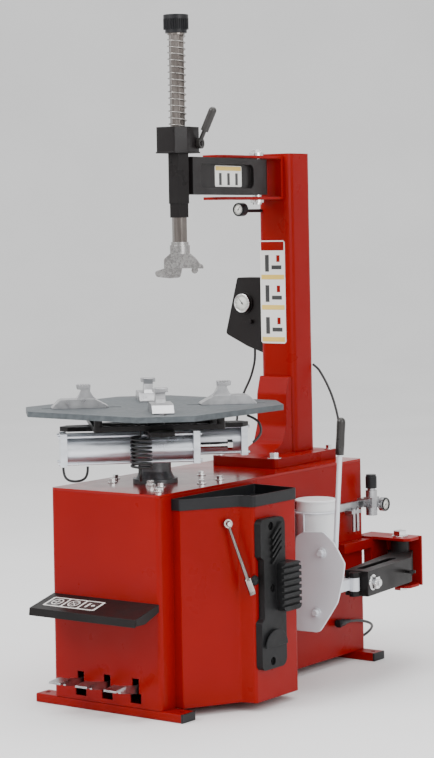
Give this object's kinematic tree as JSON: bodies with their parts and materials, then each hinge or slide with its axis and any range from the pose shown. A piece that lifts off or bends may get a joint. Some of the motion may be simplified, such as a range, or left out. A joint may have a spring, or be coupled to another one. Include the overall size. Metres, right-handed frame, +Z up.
{
  "type": "tire changer machine",
  "caption": "Swing-arm tire changer: red cabinet with a star turntable and sliding jaws, a column with a swing arm and mount head, and a side bead breaker",
  "frame": {"origin": "on the floor, in the middle of the machine's footprint box without the mains lead", "axes": "+X to the operator's right, towards the bead breaker; +Y to the rear, towards the column; +Z up"},
  "size_m": [0.7455, 1.2852, 1.873],
  "materials": {
    "red_enamel": "gloss red enamel over sheet steel",
    "black_paint": "satin black paint",
    "deck_enamel": "high gloss red enamel",
    "white_plastic": "moulded white plastic",
    "table_steel": "ground steel",
    "machined_steel": "machined steel",
    "cast_grey": "cast and painted grey",
    "chrome": "plated",
    "silver_paint": "silver paint",
    "aluminium": "drawn aluminium",
    "rubber": "moulded rubber",
    "black_plastic": "moulded plastic",
    "grip_plastic": "gloss black grip",
    "cable_rubber": "cable sheath",
    "spring_steel": "spring wire"
  },
  "bodies": {
    "base": {"cabinet": "red_enamel", "top_deck": "deck_enamel", "floor_feet": "red_enamel", "side_tray": "black_paint", "bead_pad": "rubber", "pedal_cover": "black_paint", "gearbox": "cast_grey", "motor": "cast_grey", "drive_belt": "cable_rubber", "pedal_shaft": "black_paint", "turntable_pedestal": "cast_grey", "column": "red_enamel", "column_base": "red_enamel", "hex_bolts": "chrome", "hinge_fork": "red_enamel", "arm_pin": "machined_steel", "gauge_box": "black_paint", "arm_gauge": "black_plastic", "bucket_ring": "silver_paint", "air_regulator": "silver_paint", "bead_bracket": "red_enamel", "bead_pivot_bolt": "chrome", "cable_gland": "black_plastic", "power_cable": "cable_rubber", "power_cable_coil": "cable_rubber", "power_plug": "black_plastic", "air_hoses": "cable_rubber"},
    "breaker_cylinder": {"bead_cylinder": "aluminium"},
    "breaker_rod": {"bead_rod": "machined_steel"},
    "swing_arm": {"arm_beam": "black_paint", "guide_sleeve": "black_paint", "lock_box": "black_paint", "shaft_spring": "spring_steel"},
    "lever": {"lock_lever": "grip_plastic"},
    "shaft": {"tool_shaft": "machined_steel", "shaft_cap": "black_plastic", "mount_head": "machined_steel"},
    "turntable": {"turntable_plate": "table_steel", "turntable_frame": "black_paint", "clamp_cylinders": "aluminium", "turntable_hoses": "cable_rubber"},
    "rod_front": {"clamp_rod_front": "chrome"},
    "rod_rear": {"clamp_rod_rear": "chrome"},
    "clamp_jaw_1": {"jaw_1": "machined_steel"},
    "clamp_jaw_2": {"jaw_2": "machined_steel"},
    "clamp_jaw_3": {"jaw_3": "machined_steel"},
    "clamp_jaw_4": {"jaw_4": "machined_steel"},
    "left_pedal": {"pedal_left": "machined_steel"},
    "middle_pedal": {"pedal_middle": "machined_steel"},
    "right_pedal": {"pedal_right": "machined_steel"},
    "breaker_arm": {"bead_arm": "black_paint", "rod_nut": "chrome"},
    "breaker_blade": {"bead_blade": "silver_paint", "blade_handle": "silver_paint"},
    "lube_bucket": {"bucket": "white_plastic"},
    "lube_lid": {"bucket_lid": "white_plastic"},
    "lever_tool": {"tire_lever": "chrome"},
    "regulator": {"regulator_knob": "grip_plastic"},
    "worm_pulley": {"gearbox_pulley": "cast_grey"},
    "drive_pulley": {"motor_pulley": "cast_grey"}
  },
  "joints": [
    {"name": "turntable_spin", "type": "hinge", "parent": "base", "child": "turntable", "pos_m": [-0.0658, -0.2545, 0.75], "axis": [0, 0, 1], "continuous": true},
    {"name": "gearbox_pulley_spin", "type": "hinge", "parent": "base", "child": "worm_pulley", "pos_m": [-0.0658, -0.2545, 0.446], "axis": [0, 0, 1], "continuous": true},
    {"name": "motor_pulley_spin", "type": "hinge", "parent": "base", "child": "drive_pulley", "pos_m": [-0.0608, -0.0565, 0.446], "axis": [0, 0, 1], "continuous": true},
    {"name": "jaw_1_slide", "type": "slide", "parent": "turntable", "child": "clamp_jaw_1", "axis": [0.7314, 0.682, 0], "range_m": [-0.08, 0.055]},
    {"name": "jaw_2_slide", "type": "slide", "parent": "turntable", "child": "clamp_jaw_2", "axis": [-0.682, 0.7314, 0], "range_m": [-0.08, 0.055]},
    {"name": "jaw_3_slide", "type": "slide", "parent": "turntable", "child": "clamp_jaw_3", "axis": [-0.7314, -0.682, 0], "range_m": [-0.08, 0.055]},
    {"name": "jaw_4_slide", "type": "slide", "parent": "turntable", "child": "clamp_jaw_4", "axis": [0.682, -0.7314, 0], "range_m": [-0.08, 0.055]},
    {"name": "clamp_rod_front_slide", "type": "slide", "parent": "turntable", "child": "rod_front", "axis": [0.7314, 0.682, 0], "range_m": [-0.04, 0.0275]},
    {"name": "clamp_rod_rear_slide", "type": "slide", "parent": "turntable", "child": "rod_rear", "axis": [-0.7314, -0.682, 0], "range_m": [-0.04, 0.0275]},
    {"name": "arm_swing", "type": "hinge", "parent": "base", "child": "swing_arm", "pos_m": [-0.0608, 0.2485, 1.43], "axis": [0, 0, 1], "range_deg": [-10, 80]},
    {"name": "shaft_slide", "type": "slide", "parent": "swing_arm", "child": "shaft", "axis": [0, 0, 1], "range_m": [-0.18, 0], "stiffness_N_per_m": 350, "springref_m": 0.22, "deforming": ["shaft_spring"]},
    {"name": "lock_lever_turn", "type": "hinge", "parent": "swing_arm", "child": "lever", "pos_m": [0.05615, -0.18332, 1.52], "axis": [0.9884, 0.1519, 0], "range_deg": [-20, 45]},
    {"name": "breaker_arm_swing", "type": "hinge", "parent": "base", "child": "breaker_arm", "pos_m": [0.2242, 0.5485, 0.281], "axis": [0, 0, 1], "range_deg": [0, 40]},
    {"name": "breaker_blade_tilt", "type": "hinge", "parent": "breaker_arm", "child": "breaker_blade", "pos_m": [0.31399, 0.15539, 0.281], "axis": [0, 0, 1], "range_deg": [-12, 12]},
    {"name": "breaker_cylinder_turn", "type": "hinge", "parent": "base", "child": "breaker_cylinder", "pos_m": [-0.0458, 0.1995, 0.283], "axis": [0, 0, 1], "range_deg": [0, 15.6]},
    {"name": "breaker_rod_slide", "type": "slide", "parent": "breaker_cylinder", "child": "breaker_rod", "axis": [1, 0, 0], "range_m": [0, 0.2234]},
    {"name": "pedal_left_press", "type": "hinge", "parent": "base", "child": "left_pedal", "pos_m": [-0.1508, -0.3365, 0.075], "axis": [1, 0, 0], "range_deg": [0, 8], "stiffness_Nm_per_rad": 40, "springref_deg": -11.46},
    {"name": "pedal_middle_press", "type": "hinge", "parent": "base", "child": "middle_pedal", "pos_m": [-0.0598, -0.3365, 0.075], "axis": [1, 0, 0], "range_deg": [0, 8], "stiffness_Nm_per_rad": 40, "springref_deg": -11.46},
    {"name": "pedal_right_rock", "type": "hinge", "parent": "base", "child": "right_pedal", "pos_m": [0.0372, -0.3365, 0.075], "axis": [1, 0, 0], "range_deg": [-4, 8], "stiffness_Nm_per_rad": 60, "springref_deg": -1.15},
    {"name": "bucket_lift", "type": "slide", "parent": "base", "child": "lube_bucket", "axis": [0, 0, 1], "range_m": [0, 0.2]},
    {"name": "bucket_lid_lift", "type": "slide", "parent": "lube_bucket", "child": "lube_lid", "axis": [0, 0, 1], "range_m": [0, 0.1]},
    {"name": "tire_lever_off", "type": "slide", "parent": "base", "child": "lever_tool", "axis": [0.8679, -0.4968, 0], "range_m": [0, 0.08]},
    {"name": "regulator_knob_turn", "type": "hinge", "parent": "base", "child": "regulator", "pos_m": [0.1582, 0.4985, 0.52], "axis": [0, 0, 1], "continuous": true}
  ],
  "couplings": [
    {"joint": "gearbox_pulley_spin", "follows": "turntable_spin", "ratio": 50},
    {"joint": "motor_pulley_spin", "follows": "turntable_spin", "ratio": 120},
    {"joint": "jaw_2_slide", "follows": "jaw_1_slide", "ratio": 1},
    {"joint": "jaw_3_slide", "follows": "jaw_1_slide", "ratio": 1},
    {"joint": "jaw_4_slide", "follows": "jaw_1_slide", "ratio": 1},
    {"joint": "clamp_rod_front_slide", "follows": "jaw_1_slide", "ratio": 0.5},
    {"joint": "clamp_rod_rear_slide", "follows": "jaw_1_slide", "ratio": 0.5},
    {"joint": "breaker_cylinder_turn", "follows": "breaker_arm_swing", "ratio": 0.38},
    {"joint": "breaker_rod_slide", "follows": "breaker_arm_swing", "m_per_rad": 0.3199}
  ]
}
